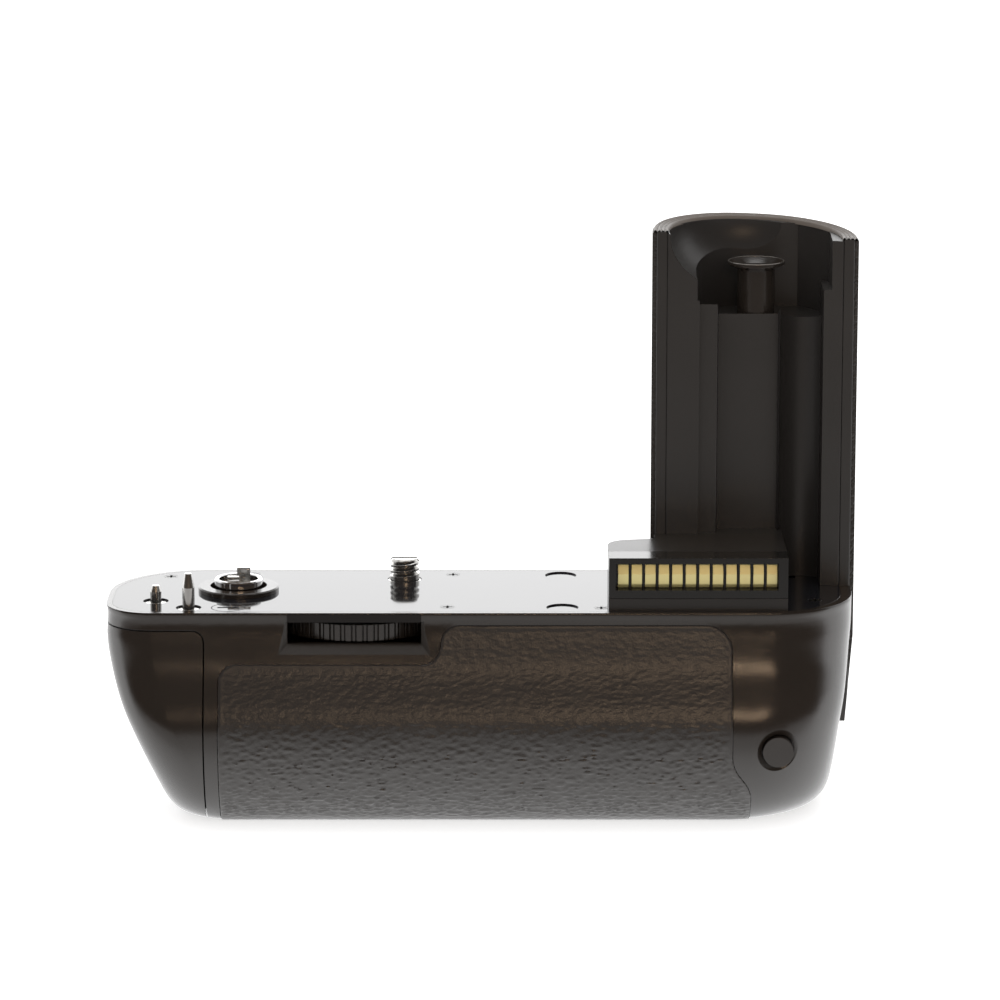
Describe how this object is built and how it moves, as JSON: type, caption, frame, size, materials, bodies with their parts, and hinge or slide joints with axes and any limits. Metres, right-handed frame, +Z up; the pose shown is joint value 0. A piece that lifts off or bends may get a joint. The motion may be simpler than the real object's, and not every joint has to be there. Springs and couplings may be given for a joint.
{
  "type": "camera battery grip",
  "caption": "Vertical battery grip for a film camera: wide base with a slide-out cell magazine, camera screw with thumbwheel, drive coupling and an upright hand grip.",
  "frame": {"origin": "on the mating face of the plate, at the axis of the attachment screw", "axes": "+X to the right end seen from behind, +Y to the front, +Z up towards the camera"},
  "size_m": [0.1592, 0.0538, 0.1237],
  "materials": {
    "black_plastic": "satin moulded",
    "plate_gloss": "glossy lacquered",
    "grip_rubber": "leather grain",
    "leatherette": "pebbled",
    "liner_plastic": "satin moulded",
    "steel": "turned",
    "black_steel": "blackened",
    "chrome": "polished",
    "gold_contact": "gold plated",
    "contact_black": "fine satin",
    "gear_plastic": "moulded",
    "circuit_board": "lacquered",
    "cell_sleeve": "bright sleeve",
    "frame_plastic": "moulded"
  },
  "bodies": {
    "base": {"base_shell": "black_plastic", "top_plate": "plate_gloss", "plate_screws": "black_steel", "short_pin": "steel", "tall_pin": "steel", "pin_bracket": "steel", "stowage_plug": "plate_gloss", "wheel_axle": "steel", "coupling_flange": "black_plastic", "coupling_collar": "chrome", "drive_motor": "steel", "motor_bracket": "frame_plastic", "shaft_bearings": "gear_plastic", "connector_housing": "black_plastic", "contact_frame": "contact_black", "contact_pads": "gold_contact", "connector_board": "circuit_board", "arm_shell": "black_plastic", "arm_leather": "leatherette", "arm_core": "liner_plastic", "locating_stud": "black_plastic", "grip_pad": "grip_rubber", "main_board": "circuit_board", "control_board": "circuit_board", "rear_switch": "contact_black", "terminal_block": "frame_plastic", "terminal_pins": "gold_contact", "release_bezel": "black_steel", "release_switch": "contact_black", "dial_axle": "steel", "tripod_socket": "steel", "lock_keeper": "black_steel"},
    "thumbwheel": {"thumbwheel": "black_plastic", "wheel_gear": "gear_plastic"},
    "attachment_screw": {"attachment_screw": "steel", "screw_gear": "gear_plastic"},
    "drive_shaft": {"drive_shaft": "steel"},
    "drive_coupling": {"coupling_fork": "black_steel", "coupling_gear": "gear_plastic"},
    "rear_button": {"rear_button": "black_plastic"},
    "shutter_button": {"shutter_button": "black_plastic"},
    "control_dial": {"control_dial": "black_plastic"},
    "power_switch": {"power_switch": "black_plastic"},
    "magazine": {"end_cap": "black_plastic", "magazine_frame": "frame_plastic", "battery_cell_1": "cell_sleeve", "battery_cell_2": "cell_sleeve", "battery_cell_3": "cell_sleeve", "battery_cell_4": "cell_sleeve", "battery_cell_5": "cell_sleeve", "battery_cell_6": "cell_sleeve", "battery_cell_7": "cell_sleeve", "battery_cell_8": "cell_sleeve", "contact_strips_left": "steel", "contact_strips_middle": "steel", "contact_strips_right": "steel", "power_pads": "gold_contact"},
    "lock_key": {"lock_key": "black_plastic", "lock_cam": "black_steel"}
  },
  "joints": [
    {"name": "thumbwheel_spin", "type": "hinge", "parent": "base", "child": "thumbwheel", "pos_m": [-0.0096, -0.0115, -0.005], "axis": [0, 0, 1], "continuous": true},
    {"name": "screw_spin", "type": "hinge", "parent": "base", "child": "attachment_screw", "pos_m": [0, 0, 0], "axis": [0, 0, 1], "continuous": true},
    {"name": "shaft_spin", "type": "hinge", "parent": "base", "child": "drive_shaft", "pos_m": [-0.0353, -0.00525, -0.00815], "axis": [1, 0, 0], "continuous": true},
    {"name": "coupling_spin", "type": "hinge", "parent": "base", "child": "drive_coupling", "pos_m": [-0.0353, -0.0104, 0], "axis": [0, 0, 1], "continuous": true},
    {"name": "rear_button_press", "type": "slide", "parent": "base", "child": "rear_button", "axis": [0, 1, 0], "range_m": [0, 0.0008], "stiffness_N_per_m": 150, "springref_m": -0.002},
    {"name": "shutter_button_press", "type": "slide", "parent": "base", "child": "shutter_button", "axis": [-0.7071, -0.7071, 0], "range_m": [0, 0.001], "stiffness_N_per_m": 150, "springref_m": -0.002},
    {"name": "dial_spin", "type": "hinge", "parent": "base", "child": "control_dial", "pos_m": [0.0741, 0.0095, -0.036], "axis": [0, 0, 1], "continuous": true},
    {"name": "switch_turn", "type": "hinge", "parent": "base", "child": "power_switch", "pos_m": [0.065, 0.015, -0.037], "axis": [0, 1, 0], "range_deg": [0, 40]},
    {"name": "magazine_slide", "type": "slide", "parent": "base", "child": "magazine", "axis": [-1, 0, 0], "range_m": [0, 0.107]},
    {"name": "lock_turn", "type": "hinge", "parent": "magazine", "child": "lock_key", "pos_m": [-0.05, -0.0115, -0.022], "axis": [1, 0, 0], "range_deg": [0, 90]}
  ],
  "couplings": [
    {"joint": "screw_spin", "follows": "thumbwheel_spin", "ratio": -1.5},
    {"joint": "coupling_spin", "follows": "shaft_spin", "ratio": 0.045455}
  ]
}
